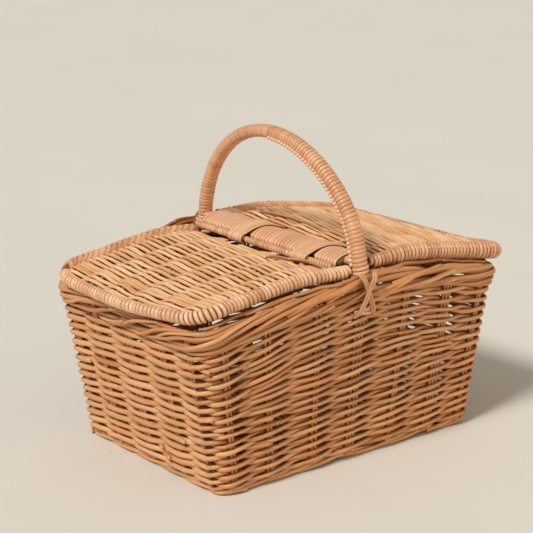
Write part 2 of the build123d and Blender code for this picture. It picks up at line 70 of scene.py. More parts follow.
class Bundle:
    """Swept rods gathered into one mesh, with a tone and grain coordinates on every vertex."""

    def __init__(self, seed):
        self.rng = np.random.default_rng(seed)
        self.co, self.tone, self.grain, self.quads, self.tris = [], [], [], [], []
        self.crest, self.tint = [], []
        self.count = 0

    def add(self, points, grain, tone, crest, tint):
        """Vertices with their attributes. crest is 1 on a rod's outer side and 0 on its inner one."""
        tints = np.full(len(points), tint)
        tables = (self.co, self.grain, self.tone, self.crest, self.tint)
        for table, rows in zip(tables, (points, grain, tone, crest, tints)):
            table.append(rows)
        self.count += len(points)

    def sweep(self, line, half_width, half_depth, normal, section, tone, closed=False,
              cut_tone=None):
        """A rod along line. normal points out of the section's crowned side."""
        line = np.asarray(line, float)
        n, m = len(line), len(section)
        if closed:
            tangent = np.roll(line, -1, 0) - np.roll(line, 1, 0)
        else:
            tangent = np.gradient(line, axis=0)
        tangent = unit(tangent)
        out = square_to(normal, tangent)
        side = np.cross(tangent, out)
        half_width = np.broadcast_to(np.asarray(half_width, float), (n,))
        half_depth = np.broadcast_to(np.asarray(half_depth, float), (n,))
        sec = np.array(section)
        across = half_width[:, None] * sec[None, :, 0]
        proud = half_depth[:, None] * sec[None, :, 1]
        ring = line[:, None] + side[:, None] * across[..., None] + out[:, None] * proud[..., None]
        along = distance_along(line) + self.rng.uniform(0, 40)
        grain = np.stack([np.broadcast_to(along[:, None], across.shape), across, proud], -1)
        tones = np.broadcast_to(np.asarray(tone, float), (n,))[:, None] * np.ones((1, m))
        index = self.count + np.arange(n * m).reshape(n, m)
        nxt = np.roll(index, -1, 1)
        if closed:
            a, b = index, np.roll(index, -1, 0)
            an, bn = nxt, np.roll(nxt, -1, 0)
        else:
            a, b, an, bn = index[:-1], index[1:], nxt[:-1], nxt[1:]
        self.quads.append(np.stack([a, b, bn, an], -1).reshape(-1, 4))
        tint = self.rng.uniform(0, 1)
        crest = np.broadcast_to(0.5 + 0.5 * sec[None, :, 1], (n, m))
        self.add(ring.reshape(-1, 3), grain.reshape(-1, 3), tones.reshape(-1), crest.reshape(-1), tint)
        if closed:
            return
        for end, sign in ((0, -1), (n - 1, 1)):
            reach = END_BLUNTNESS * min(half_width[end], half_depth[end])
            tip_ring = line[end] + (ring[end] - line[end]) * 0.72 + tangent[end] * sign * reach
            centre = line[end] + tangent[end] * sign * reach * 1.2
            cap = self.count + np.arange(m)
            cap_next, hub = np.roll(cap, -1), np.full(m, self.count + m)
            edge, edge_next = index[end], nxt[end]
            if sign > 0:
                self.quads.append(np.stack([edge, cap, cap_next, edge_next], -1))
                self.tris.append(np.stack([cap_next, cap, hub], -1))
            else:
                self.quads.append(np.stack([edge, edge_next, cap_next, cap], -1))
                self.tris.append(np.stack([cap, cap_next, hub], -1))
            end_tone = tones[end, 0] if cut_tone is None else cut_tone
            self.add(
                np.vstack([tip_ring, centre]), np.vstack([grain[end], grain[end].mean(0)]),
                np.full(m + 1, end_tone), np.full(m + 1, 0.7), tint
            )

    def rod(self, line, radius, tone, normal=(0, 0, 1), closed=False, cut_tone=None):
        """A round rod."""
        self.sweep(line, radius, radius, normal, ROUND, tone, closed, cut_tone=cut_tone)

    def piece(self, name, slot, material, nodes, body="basket"):
        """Makes the mesh object, rides it on its body and lets it stand for its CAD nodes."""
        co = np.concatenate(self.co).astype(np.float32)
        quads = np.concatenate(self.quads).astype(np.int32)
        tris = np.concatenate(self.tris).astype(np.int32) if self.tris else np.zeros((0, 3), np.int32)
        mesh = bpy.data.meshes.new(name)
        mesh.vertices.add(len(co))
        mesh.vertices.foreach_set("co", co.ravel())
        corners = np.concatenate([quads.ravel(), tris.ravel()])
        mesh.loops.add(len(corners))
        mesh.loops.foreach_set("vertex_index", corners)
        totals = np.concatenate([np.full(len(quads), 4), np.full(len(tris), 3)]).astype(np.int32)
        starts = np.concatenate([[0], np.cumsum(totals)[:-1]]).astype(np.int32)
        mesh.polygons.add(len(totals))
        mesh.polygons.foreach_set("loop_start", starts)
        mesh.polygons.foreach_set("loop_total", totals)
        mesh.update(calc_edges=True)
        mesh.polygons.foreach_set("use_smooth", np.ones(len(totals), bool))
        for key in ("tone", "crest", "tint", "grain"):
            kind, field = ("FLOAT_VECTOR", "vector") if key == "grain" else ("FLOAT", "value")
            values = np.concatenate(getattr(self, key)).astype(np.float32).ravel()
            mesh.attributes.new(key, kind, "POINT").data.foreach_set(field, values)
        mesh.materials.append(material)
        obj = bpy.data.objects.new(name, mesh)
        bpy.context.scene.collection.objects.link(obj)
        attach(obj, body)
        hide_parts(*nodes)


def wander(rng, x, size, wavelength, octaves=3):
    """Smooth seeded noise along x, about +-size."""
    value = np.zeros_like(x)
    for k in range(octaves):
        period = wavelength / (1.6 ** k)
        value += np.sin(TAU * x / period + rng.uniform(0, TAU)) * rng.uniform(0.4, 1.0) / (1.3 ** k)
    return value * size * 0.6


# ---- materials
def new_material(name):
    """An empty material, and the function that puts nodes in it."""
    mat = bpy.data.materials.new(name)
    mat.use_nodes = True
    nodes, links = mat.node_tree.nodes, mat.node_tree.links
    nodes.clear()

    def node(kind, inputs=(), **values):
        """A node with its inputs set or, where an input's value is another node's output, linked."""
        made = nodes.new(kind)
        for key, value in values.items():
            setattr(made, key, value)
        for key, value in dict(inputs).items():
            if isinstance(value, bpy.types.NodeSocket):
                links.new(value, made.inputs[key])
            else:
                made.inputs[key].default_value = value
        return made

    return mat, node


def wicker(name, dark, mid, light, roughness, streak=0.5, bump=0.35, coat=0.12, crevice_shade=0.34):
    """Varnished willow or cane: tone by rod, streaks along it, blotches, painted shade in the crevices
    and fine relief.
    """
    mat, node = new_material(name)

    def attribute(key, output="Fac"):
        return node("ShaderNodeAttribute", attribute_name=key).outputs[output]

    def noise(scale, detail, rough):
        mapping = node("ShaderNodeMapping", {"Vector": grain, "Scale": scale}).outputs[0]
        inputs = {"Vector": mapping, "Scale": 1.0, "Detail": detail, "Roughness": rough}
        return node("ShaderNodeTexNoise", inputs).outputs["Fac"]

    def scaled(value, factor, base, middle=None):
        """base + factor * (value - middle)"""
        if middle is not None:
            value = node("ShaderNodeMath", {0: value, 1: middle}, operation="SUBTRACT").outputs[0]
        inputs = {0: value, 1: factor, 2: base}
        return node("ShaderNodeMath", inputs, operation="MULTIPLY_ADD").outputs[0]

    grain = attribute("grain", "Vector")
    tint = attribute("tint")
    streaks = noise((22, 900, 900), 3.0, 0.6)
    blotch = noise((14, 90, 90), 2.0, 0.5)
    fine = noise((260, 1500, 1500), 2.0, 0.6)
    knots = noise((75, 160, 160), 1.0, 0.5)
    value = scaled(streaks, streak, attribute("tone"), 0.5)
    value = scaled(blotch, 0.55, value, 0.5)
    spots = node("ShaderNodeMapRange", {"Value": knots, "From Min": 0.70, "From Max": 0.80})
    value = scaled(spots.outputs[0], -0.3, value)
    # Painted shade: each rod is painted darker towards its inner side, in the crevices, and palest on
    # its outer side.
    value = scaled(attribute("crest"), crevice_shade, value, 0.66)
    ramp = node("ShaderNodeValToRGB", {0: value})
    ramp.color_ramp.interpolation = "B_SPLINE"
    stops = ramp.color_ramp.elements
    stops[0].position, stops[0].color = 0.0, (*dark, 1)
    stops[1].position, stops[1].color = 1.0, (*light, 1)
    stops.new(0.5).color = (*mid, 1)
    colour = node("ShaderNodeHueSaturation", {
        "Hue": scaled(tint, 0.012, 0.494),
        "Saturation": scaled(tint, -0.12, 1.06),
        "Color": ramp.outputs[0],
    })
    relief = node("ShaderNodeBump", {
        "Height": scaled(blotch, 0.8, scaled(fine, 0.35, streaks)),
        "Strength": bump,
        "Distance": 0.0006,
    })
    shader = node("ShaderNodeBsdfPrincipled", {
        "Base Color": colour.outputs[0],
        "Roughness": scaled(fine, 0.12, scaled(streaks, 0.22, roughness - 0.11)),
        "Specular IOR Level": 0.42,
        "Coat Weight": coat,
        "Coat Roughness": 0.22,
        "Normal": relief.outputs[0],
    })
    node("ShaderNodeOutputMaterial", {0: shader.outputs[0]})
    return mat


WILLOW = wicker("willow_weave", (0.20, 0.052, 0.006), (0.545, 0.228, 0.078), (0.83, 0.49, 0.25), 0.40)
STAKE = wicker("willow_stakes", (0.20, 0.058, 0.010), (0.53, 0.23, 0.085), (0.80, 0.48, 0.24), 0.46)
BORDER = wicker("willow_border", (0.21, 0.058, 0.008), (0.545, 0.228, 0.080), (0.83, 0.49, 0.25), 0.38)
LIDS = wicker("willow_lids", (0.28, 0.085, 0.018), (0.66, 0.315, 0.130), (0.92, 0.62, 0.36), 0.34,
              streak=0.75, coat=0.2, crevice_shade=0.42)
CANE_MAT = wicker("cane_wrapping", (0.27, 0.085, 0.028), (0.64, 0.295, 0.135), (0.93, 0.64, 0.42), 0.29,
                  coat=0.35, crevice_shade=0.5)
BOW_CANE = wicker("handle_cane", (0.27, 0.085, 0.028), (0.60, 0.275, 0.130), (0.90, 0.60, 0.38), 0.33,
                  streak=0.7, coat=0.25, crevice_shade=0.22)
LASH = wicker("cane_lashing", (0.26, 0.085, 0.022), (0.62, 0.288, 0.130), (0.90, 0.62, 0.38), 0.33,
              coat=0.3, crevice_shade=0.5)
# Painted shade: the rods under the windings and the hinge dowels are real, but they are painted very
# dark so that the gaps between the turns and the line beside the centre bar read as shadow.
CORE_SHADE = wicker("core_rods", (0.10, 0.035, 0.008), (0.26, 0.11, 0.030), (0.5, 0.27, 0.10), 0.55)


# ---- the wall's outline
class Level:
    """The wall's middle line at one height, as in the frame."""

    def __init__(self, z, half_x, half_y, radius, side_bow, end_bow):
        self.z, self.radius = z, radius
        self.half = np.array([half_x - radius, half_y - radius])
        self.reach = np.array([half_y, half_x])
        self.bow = np.array([side_bow, end_bow])


LOW = Level(0.009, 0.176, 0.120, 0.014, 0.0, 0.0)
HIGH = Level(0.206, 0.21109, 0.13293, 0.0225, 0.0077, 0.0025)


def segment_at(q):
    """Number of the side (even) or corner (odd) at q, 0 at the front."""
    return np.floor(np.mod(q, 8)).astype(int)


def outline(level, q):
    """Points and outward normals of the middle line.

    q runs 0..8, side, corner, side and so on, from the front's left.
    """
    q = np.mod(np.asarray(q, float), 8.0)
    segment = segment_at(q)
    u = q - segment
    k = segment // 2
    angle = np.radians(90.0 * k - 90.0)
    out = np.stack([np.cos(angle), np.sin(angle)], -1)
    along = np.stack([-np.sin(angle), np.cos(angle)], -1)
    half, reach, bow = level.half[k % 2], level.reach[k % 2], level.bow[k % 2]
    share = 2 * u - 1
    side_point = out * (reach + bow * (1 - share ** 2))[:, None] + along * (share * half)[:, None]
    turn = u * pi / 2
    radial = out * np.cos(turn)[:, None] + along * np.sin(turn)[:, None]
    centre = along * half[:, None] + out * (reach - level.radius)[:, None]
    corner_point = centre + radial * level.radius
    is_corner = (segment % 2 == 1)[:, None]
    return np.where(is_corner, corner_point, side_point), np.where(is_corner, radial, out)


def wall(q, z, offset):
    """Point in space at place q round the wall, height z, and offset out of its middle line."""
    low, normal = outline(LOW, q)
    high, _ = outline(HIGH, q)
    share = (np.asarray(z, float) - LOW.z) / (HIGH.z - LOW.z)
    share, offset, z = (np.broadcast_to(value, (len(low),)) for value in (share, offset, z))
    flat = low + (high - low) * share[:, None] + normal * offset[:, None]
    return np.column_stack([flat, z]), np.column_stack([normal, np.zeros(len(low))])


def x_at(q, z=0.19):
    """X of the wall's middle line at q and height z."""
    return wall(q, z, 0.0)[0][:, 0]


Q_FINE = np.linspace(0, 8, 4001)
S_FINE = distance_along(wall(Q_FINE, 0.110, 0.0)[0])
AROUND = S_FINE[-1]


def q_at(s):
    """Place round the wall at a distance round it, at mid height."""
    turns = np.floor(np.asarray(s) / AROUND)
    return np.interp(s - turns * AROUND, S_FINE, Q_FINE) + turns * 8


# Stake groups: share of the wall's half length, and number of rods in the group.
SIDE_GROUPS = [(-0.98, 2), (-0.69, 2), (-0.335, 2), (-0.02, 3), (0.335, 2), (0.68, 3), (0.98, 2)]
END_GROUPS = [(-0.96, 2), (-0.54, 2), (0.0, 3), (0.54, 2), (0.96, 2)]
BACK_GROUPS = [(-share, rods) for share, rods in reversed(SIDE_GROUPS)]
ROUND_GROUPS = [
    (2 * k + (share + 1) / 2, rods)
    for k, groups in enumerate((SIDE_GROUPS, END_GROUPS, BACK_GROUPS, END_GROUPS))
    for share, rods in groups
]
STATIONS = np.array([place for place, _ in ROUND_GROUPS])
WRAPPED = np.concatenate([STATIONS[-1:] - 8, STATIONS, STATIONS[:1] + 8])


def phase_at(q):
    """Half turns of the twining, one for each stake group passed."""
    turns = np.floor(q / 8)
    passed = np.interp(q - turns * 8, WRAPPED, np.arange(-1, len(STATIONS) + 1))
    return (passed + turns * len(STATIONS)) * pi


RIM_RADIUS = 1.101
RIM_TOP = 0.2032
BAND = 0.027


def rim_z(x, drop=0.0):
    """Height of the rim's top at x, less a drop."""
    return RIM_TOP - RIM_RADIUS + np.sqrt(RIM_RADIUS ** 2 - np.asarray(x) ** 2) - drop


def smooth(x):
    """x from 0 to 1, eased at both ends and held beyond them."""
    x = np.clip(x, 0, 1)
    return x * x * (3 - 2 * x)


def rim_heap(q, x):
    """How much the rim's rods heap up along the long walls, less so on the front's left."""
    side = segment_at(q)
    low = 0.0030 * smooth(1 - np.abs(x) / 0.175)
    front = low + 0.0046 * smooth((x + 0.040) / 0.055) * smooth((0.180 - x) / 0.070)
    back = low + 0.0115 * np.exp(-(((x + 0.025) / 0.065) ** 2))
    back = back + 0.0045 * smooth((x - 0.010) / 0.060) * smooth((0.190 - x) / 0.060)
    return np.where(side == 0, front, np.where(side == 4, back, 0.0))


# ---- wall weave
ROW_PITCH = 0.0091
SHORT_PITCH = 0.0087
FIRST_ROW = 0.0136
FLAT_ROWS = 8
UPPER_ROWS = 8
SHORT_MIDDLE = -0.012
SHORT_ROWS = {0: (0.060, 0.175), 1: (0.050, 0.160), 2: (0.035, 0.140), 4: (0.045, 0.150)}
STRAND_DEPTH = 0.0041
STRAND_LIFT = 0.0027
STRAND_STEP = 0.0042


def short_row_height(q, bounds):
    """Height that a short row adds at q: full in the middle of the long walls, none at its ends."""
    x = np.abs(x_at(q, 0.150) - SHORT_MIDDLE)
    share = 1 - smooth((x - bounds[0]) / (bounds[1] - bounds[0]))
    return np.where(segment_at(q) % 4 == 0, share, 0.0) * SHORT_PITCH


def row_heights(q):
    """Heights of every row's middle at q, with the number of the short row each one is, or None."""
    rows = [(np.full(len(q), FIRST_ROW + ROW_PITCH * k), None) for k in range(FLAT_ROWS)]
    z = np.full(len(q), FIRST_ROW + ROW_PITCH * (FLAT_ROWS - 0.5))
    x = x_at(q, 0.17)
    top = rim_z(x, BAND) + 0.9 * rim_heap(q, x) + 0.0010
    short = {k: short_row_height(q, b) for k, b in SHORT_ROWS.items()}
    pitch = (top - z - sum(short.values())) / UPPER_ROWS
    for k in range(UPPER_ROWS):
        rows.append((z + pitch / 2, None))
        z = z + pitch
        if k in short:
            rows.append((z + short[k] / 2, k))
            z = z + short[k]
    return rows


def cut_round(rng, last, shortest, longest):
    """Spans of the rods that follow one another once round the wall, from a random start."""
    cuts = [rng.uniform(0, AROUND)]
    while cuts[-1] < cuts[0] + AROUND - last:
        cuts.append(cuts[-1] + rng.uniform(shortest, longest))
    cuts[-1] = cuts[0] + AROUND
    return list(zip(cuts[:-1], cuts[1:]))


def weave_walls():
    """Rows of two strands that twine round the stakes, with short rows to fill the rise of the rim."""
    bundle = Bundle(11)
    rng = bundle.rng
    for row, (_, short) in enumerate(row_heights(np.array([0.5]))):
        for strand in (0, 1):
            if short is None:
                spans = [(a - 0.007, b + 0.007) for a, b in cut_round(rng, 0.45, 0.30, 0.55)]
            else:
                reach = SHORT_ROWS[short][1] - 0.016
                spans = []
                for middle, shift in ((0.5, SHORT_MIDDLE), (4.5, -SHORT_MIDDLE)):
                    centre = np.interp(middle, Q_FINE, S_FINE) + shift
                    left = reach + rng.uniform(-0.012, 0.012)
                    right = reach + rng.uniform(-0.012, 0.012)
                    spans.append((centre - left, centre + right))
            for begin, end in spans:
                s = np.linspace(begin, end, max(8, int((end - begin) / STRAND_STEP)))
                q = q_at(s)
                phase = phase_at(q) + pi * strand
                swing = np.cos(phase)
                # The short walls are woven tighter and flatter than the long ones.
                on_end = segment_at(q) % 4 == 2
                ease = np.where(on_end, 0.76, 1.0)
                depth = STRAND_DEPTH * ease * np.sign(swing) * np.abs(swing) ** 0.85
                depth = depth + wander(rng, s, 0.0005, 0.11)
                # Straight slopes, so that the two strands of a row cross in an X between the stakes.
                slope = np.arcsin(0.985 * np.sin(phase)) / (pi / 2)
                lift = STRAND_LIFT * ease * slope + wander(rng, s, 0.0012, 0.13)
                # Most ends tuck in; some stand out with a pale cut face.
                stray = rng.uniform() < 0.40
                depth = depth - 0.0022 * np.exp(-(s - begin) / 0.008)
                depth = depth + (0.0046 if stray else 0.0006) * np.exp(-(end - s) / 0.010)
                taper = (s - begin) / (end - begin)
                radius = rng.uniform(0.00208, 0.00248) - taper * rng.uniform(0.0001, 0.0005)
                radius = radius * (1 + wander(rng, s, 0.05, 0.06))
                widths = radius * np.where(on_end, 1.40, 1.12)
                tone = rng.normal(0.5, 0.085) + wander(rng, s, 0.05, 0.3)
                tone = tone + np.where(on_end, 0.09, 0.0)
                line, normal = wall(q, row_heights(q)[row][0] + lift, depth)
                bundle.sweep(line, widths, radius, normal, ROUND, tone,
                             cut_tone=CUT_FACE if stray else None)
    nodes = ["wall_weave_" + n for n in ("front", "back", "left", "right", "corners")]
    bundle.piece("wall_twining", "woven_rods", WILLOW, nodes)


STAKE_RADIUS = 0.00175
STAKE_PITCH = 0.0041
STAKE_BOTTOM = 0.006


def stand_stakes():
    """The upright rods, in a piece for each side, and the four corner posts."""
    names = ("front", "right", "back", "left")
    made = {name: Bundle(31 + k) for k, name in enumerate(names)}
    posts = Bundle(41)
    for q, crew in ROUND_GROUPS:
        side = int(q) // 2
        bundle = made[names[side]]
        rng = bundle.rng
        x = x_at(np.full(1, q), 0.17)[0]
        z = np.linspace(STAKE_BOTTOM, float(rim_z(x, 0.012)), 26)
        side_length = 2 * LOW.half[side % 2]
        for rod in range(crew):
            shift = (rod - (crew - 1) / 2) * STAKE_PITCH + rng.uniform(-0.0004, 0.0004)
            along = np.full(len(z), q + shift / side_length) + wander(rng, z, 0.0006, 0.12) / side_length
            line, normal = wall(along, z, 0.0004 + wander(rng, z, 0.0003, 0.09))
            tone = rng.normal(0.56, 0.10)
            bundle.rod(line, STAKE_RADIUS * rng.uniform(0.92, 1.08), tone, normal)
    for k in range(4):
        z = np.linspace(STAKE_BOTTOM, 0.170, 26)
        q = np.full(len(z), 2 * k + 1.5)
        line, normal = wall(q, z, -0.0045 + wander(posts.rng, z, 0.0004, 0.1))
        posts.rod(line, 0.0030, posts.rng.normal(0.45, 0.08), normal)
    for name, bundle in made.items():
        bundle.piece(f"stakes_{name}_rods", "stake_rods", STAKE, [f"stakes_{name}"])
    posts.piece("corner_post_rods", "stake_rods", STAKE, ["corner_posts"])


# ---- rim and foot
def by_hinge(x):
    """1 beside the hinge rods, where the rim keeps clear of the lids' turning ends, and 0 far off."""
    return smooth((0.060 - np.abs(x)) / 0.018)


def plait_rim():
    """The rim is eight thick rods laid round like a slow rope, with looser ones over it."""
    bundle = Bundle(51)
    rng = bundle.rng

    def lay(begin, end, place, turns, reach, lift, radius, tone):
        """One rod of the rope, at place 0..1 round its section and turning with it."""
        s = np.linspace(begin, end, int((end - begin) / 0.0045))
        q = q_at(s)
        angle = TAU * (place + turns * s / AROUND) + wander(rng, s, 0.26, 0.28)
        c, d = np.cos(angle), np.sin(angle)
        depth = reach * np.sign(c) * np.abs(c) ** 0.75
        x = x_at(q)
        heap = rim_heap(q, x)
        rise = (lift + 0.12 * heap) * np.sign(d) * np.abs(d) ** 0.85 + wander(rng, s, 0.0009, 0.12)
        stray = rng.uniform() < 0.5
        depth = depth - 0.003 * np.exp(-(s - begin) / 0.012)
        depth = depth + (0.0020 if stray else -0.003) * np.exp(-(end - s) / 0.012)
        depth = np.maximum(depth, -0.0060 + 0.0042 * by_hinge(x))
        z = rim_z(x, BAND / 2) + rise + heap
        taper = (s - begin) / (end - begin)
        radii = (radius - taper * 0.0008) * (1 + wander(rng, s, 0.05, 0.09))
        line, normal = wall(q, z, depth)
        tones = tone + wander(rng, s, 0.04, 0.3)
        bundle.rod(line, radii, tones, normal, cut_tone=CUT_FACE if stray else None)

    strands = 8
    for strand in range(strands):
        for begin, end in cut_round(rng, 0.55, 0.40, 0.70):
            lay(begin - 0.012, end + 0.012, strand / strands, 3.375, 0.0050, 0.0103,
                rng.uniform(0.0027, 0.0035), rng.normal(0.46, 0.10))
    # Loose thinner rods wander over the rope, steeper than its own lay.
    for k in range(26):
        begin = AROUND * (k + rng.uniform(0.1, 0.9)) / 26
        lay(begin, begin + rng.uniform(0.12, 0.24), rng.uniform(0, 1), 6.0, 0.0064, 0.0108,
            rng.uniform(0.0018, 0.0026), rng.normal(0.52, 0.10))
    # Thin rods lie loose along the long walls' inner edge, close under the lids.
    for middle in (0.5, 4.5):
        centre = np.interp(middle, Q_FINE, S_FINE)
        for k in range(6):
            begin = centre - 0.195 + 0.062 * k + rng.uniform(-0.01, 0.01)
            s = np.linspace(begin, begin + rng.uniform(0.09, 0.13), 24)
            q = q_at(s)
            x = x_at(q)
            z = rim_z(x) + rim_heap(q, x) + 0.0008 + wander(rng, s, 0.0010, 0.10)
            offset = -0.0062 + 0.0050 * by_hinge(x) + wander(rng, s, 0.0010, 0.08)
            line, normal = wall(q, z, offset)
            bundle.rod(line, 0.0020, rng.normal(0.30, 0.08), normal, cut_tone=0.9)
    # Two straight rods fill the heart of the rope.
    for drop in (-0.0045, 0.0045):
        s = np.linspace(0, AROUND, 330)
        q = q_at(s)
        x = x_at(q)
        line, normal = wall(q, rim_z(x, BAND / 2 + drop) + rim_heap(q, x), 0.0)
        bundle.rod(line[:-1], 0.0036, 0.3, normal[:-1], closed=True)
    nodes = ["rim_border_lower", "rim_border_upper"]
    bundle.piece("rim_plait", "border_rods", BORDER, nodes)


def lay_foot():
    """Three rods twisted along the foot."""
    bundle = Bundle(61)
    rng = bundle.rng
    strands, turns = 3, 9 + 1 / 3
    n = 420
    for strand in range(strands):
        begin = rng.uniform(0, 1)
        t = np.linspace(begin - 0.004, begin + 1.004, n)
        q = q_at(t * AROUND)
        angle = TAU * (strand / strands + turns * t)
        low, normal = outline(LOW, q)
        flat = low + normal * (-0.0025 + 0.0021 * np.cos(angle))[:, None]
        line = np.column_stack([flat, 0.0045 + 0.0021 * np.sin(angle)])
        radius = 0.00235 * (1 + wander(rng, t, 0.05, 0.07))
        tone = rng.normal(0.6, 0.08) + wander(rng, t, 0.05, 0.2)
        bundle.rod(line, radius, tone, np.column_stack([normal, np.zeros(n)]))
    # Cut ends of the foot's rods show at the corners.
    for corner in (1.5, 3.5, 5.5, 7.5):
        middle = np.interp(corner, Q_FINE, S_FINE)
        for k in range(4):
            begin = middle + rng.uniform(-0.022, 0.010)
            s = np.linspace(begin, begin + rng.uniform(0.014, 0.026), 9)
            low, normal = outline(LOW, q_at(s))
            t = np.linspace(0, 1, 9)
            flat = low + normal * (0.0005 + 0.0030 * t ** 2)[:, None]
            line = np.column_stack([flat, 0.0035 + 0.0030 * k * t + 0.0010 * k])
            bundle.rod(line, 0.0019, rng.normal(0.55, 0.08), np.column_stack([normal, np.zeros(9)]),
                       cut_tone=CUT_FACE)
    bundle.piece("foot_twist", "border_rods", BORDER, ["foot_border"])


# ---- base
BASE_Z = 0.0067
BASE_PITCH = 0.0046
BASE_HALF = 0.167
STICK_PITCH = 0.042


def weave_base():
    """The woven bottom: rods across it, over and under five sticks that run along it."""
    bundle = Bundle(71)
    rng = bundle.rng
    for k in range(int(2 * BASE_HALF / BASE_PITCH)):
        x = -BASE_HALF + BASE_PITCH * (k + 0.5)
        y = np.linspace(-0.1135, 0.1135, 44)
        z = BASE_Z + 0.00187 * np.cos(pi * (y / STICK_PITCH + k))
        line = np.column_stack([x + wander(rng, y, 0.0004, 0.08), y, z])
        bundle.rod(line, 0.0020 * rng.uniform(0.92, 1.06), rng.normal(0.48, 0.12))
    bundle.piece("base_weave_rods", "woven_rods", WILLOW, ["base_weave"])
    sticks = Bundle(72)
    for y in (np.arange(5) - 2) * STICK_PITCH:
        x = np.linspace(-0.166, 0.166, 40)
        line = np.column_stack([x, y + wander(sticks.rng, x, 0.0005, 0.2), np.full(40, BASE_Z)])
        sticks.rod(line, 0.0022, sticks.rng.normal(0.5, 0.1))
    sticks.piece("base_stick_rods", "stake_rods", STAKE, ["base_sticks"])


# ---- sections that wrapping follows
def rounded_section(width, depth, radius):
    """Table of a rounded rectangle: place 0..1 round it, points and outward normals."""
    cx, cy = width / 2 - radius, depth / 2 - radius
    angle = np.radians(np.concatenate([np.linspace(a, a + 90, 13) for a in (-90, 0, 90, 180)]))
    normals = np.column_stack([np.cos(angle), np.sin(angle)])
    centres = np.repeat([(cx, -cy), (cx, cy), (-cx, cy), (-cx, -cy)], 13, axis=0)
    points = centres + radius * normals
    points, normals = np.vstack([points, points[:1]]), np.vstack([normals, normals[:1]])
    place = distance_along(points)
    return place / place[-1], points, normals


def crowned_section(width, bottom, shoulder, crown, fillet):
    """Table of the centre bar's section: flat below, straight sides and a domed top."""
    half, rise = width / 2, crown - shoulder
    radius = (half ** 2 + rise ** 2) / (2 * rise)
    points = [(half - fillet + fillet * sin(a), bottom + fillet - fillet * cos(a))
              for a in np.linspace(0, pi / 2, 6)]
    edge = asin(half / radius)
    points += [(half - fillet * (1 - cos(a)), shoulder - fillet * (1 - sin(a)))
               for a in np.linspace(0, pi / 2 - edge, 5)]
    points += [(radius * sin(a), crown - radius * (1 - cos(a)))
               for a in np.linspace(edge * (1 - 1.2 * fillet / half), 0, 14)]
    points += [(-x, y) for x, y in reversed(points[:-1])]
    points = np.array(points + [points[0]])
    around = np.vstack([points[-2], points, points[1]])
    tangent = around[2:] - around[:-2]
    normals = unit(np.column_stack([tangent[:, 1], -tangent[:, 0]]))
    place = distance_along(points)
    return place / place[-1], points, normals


def take(places, known, table):
    """Rows of a table at places, between its rows at the known places."""
    return np.column_stack([np.interp(places, known, column) for column in table.T])


def on_section(table, f):
    """Points and outward normals of a section at places f round it."""
    place, points, normals = table
    f = np.mod(f, 1.0)
    return take(f, place, points), unit(take(f, place, normals))


def along_y(x, y, z):
    """A straight line along Y."""
    return np.column_stack([np.full(len(y), x), y, np.full(len(y), z)])


class Path:
    """A line with cross directions: right and up, both square to it."""

    def __init__(self, points, up):
        self.points = np.asarray(points, float)
        self.s = distance_along(self.points)
        self.length = self.s[-1]
        tangent = unit(np.gradient(self.points, axis=0))
        self.up = square_to(up, tangent)
        self.right = np.cross(tangent, self.up)

    def at(self, s):
        """Points, right and up at distances s."""
        right, up = unit(take(s, self.s, self.right)), unit(take(s, self.s, self.up))
        return take(s, self.s, self.points), right, up


def wind(bundle, path, table, start, end, pitch, steps, grow=None, thick=0.0008, fill=0.47,
         tone=0.55, hand=1, jitter=0.10, bow=None, tone_spread=0.10):
    """Cane wound round a path from start to end: one strip, turn by turn."""
    rng = bundle.rng
    places = [start]
    while places[-1] < end:
        step = pitch(places[-1]) if callable(pitch) else pitch
        places.append(places[-1] + step * rng.uniform(1 - jitter, 1 + jitter))
    places = start + (np.array(places) - start) * (end - start) / (places[-1] - start)
    turns = len(places) - 1
    whole = np.arange(turns + 1)
    n = turns * steps + 1
    turn = np.linspace(0, turns, n)
    s = np.interp(turn, whole, places)
    width = np.interp(turn, np.arange(turns) + 0.5, np.diff(places)) * fill
    point, out = on_section(table, hand * turn)
    scale = np.ones(n) if grow is None else grow(s)
    centre, right, up = path.at(s if bow is None else s + bow(point))
    loose = 1 + np.interp(turn, whole, rng.normal(0, 0.012, turns + 1))
    point = point * (scale * loose)[:, None] - out * thick
    line = centre + right * point[:, :1] + up * point[:, 1:]
    normal = right * out[:, :1] + up * out[:, 1:]
    tones = tone + np.interp(turn, whole, rng.normal(0, tone_spread, turns + 1))
    bundle.sweep(line, width, thick, normal, CANE, tones)


def liner(bundle, path, table, start, end, shrink, tone, grow=None):
    """The rod under a winding, as a plain swept section."""
    n, m = max(4, int((end - start) / 0.004)), 12
    s = np.linspace(start, end, n)
    centre, right, up = path.at(s)
    section, out = on_section(table, np.linspace(0, 1, m, endpoint=False))
    section = (section - out * shrink)[::-1]
    scale = np.ones((n, 1, 1)) if grow is None else grow(s)[:, None, None]
    flat = section[None] * scale
    ring = centre[:, None] + right[:, None] * flat[..., :1] + up[:, None] * flat[..., 1:]
    index = bundle.count + np.arange(n * m).reshape(n, m)
    nxt = np.roll(index, -1, 1)
    bundle.quads.append(np.stack([index[:-1], nxt[:-1], nxt[1:], index[1:]], -1).reshape(-1, 4))
    along = s + bundle.rng.uniform(0, 40)
    grain = np.concatenate(
        [np.broadcast_to(along[:, None, None], (n, m, 1)), np.broadcast_to(section, (n, m, 2))], -1
    )
    tones, crests = np.full(n * m, tone), np.full(n * m, 0.5)
    bundle.add(ring.reshape(-1, 3), grain.reshape(-1, 3), tones, crests, 0.5)
    for end_index, flip in ((0, True), (n - 1, False)):
        hub = np.full(m, bundle.count)
        hub_grain = np.array([[along[end_index], 0, 0]])
        bundle.add(centre[end_index][None], hub_grain, np.array([tone]), np.array([0.5]), 0.5)
        a, b = index[end_index], nxt[end_index]
        bundle.tris.append(np.stack([b, a, hub] if flip else [a, b, hub], -1))


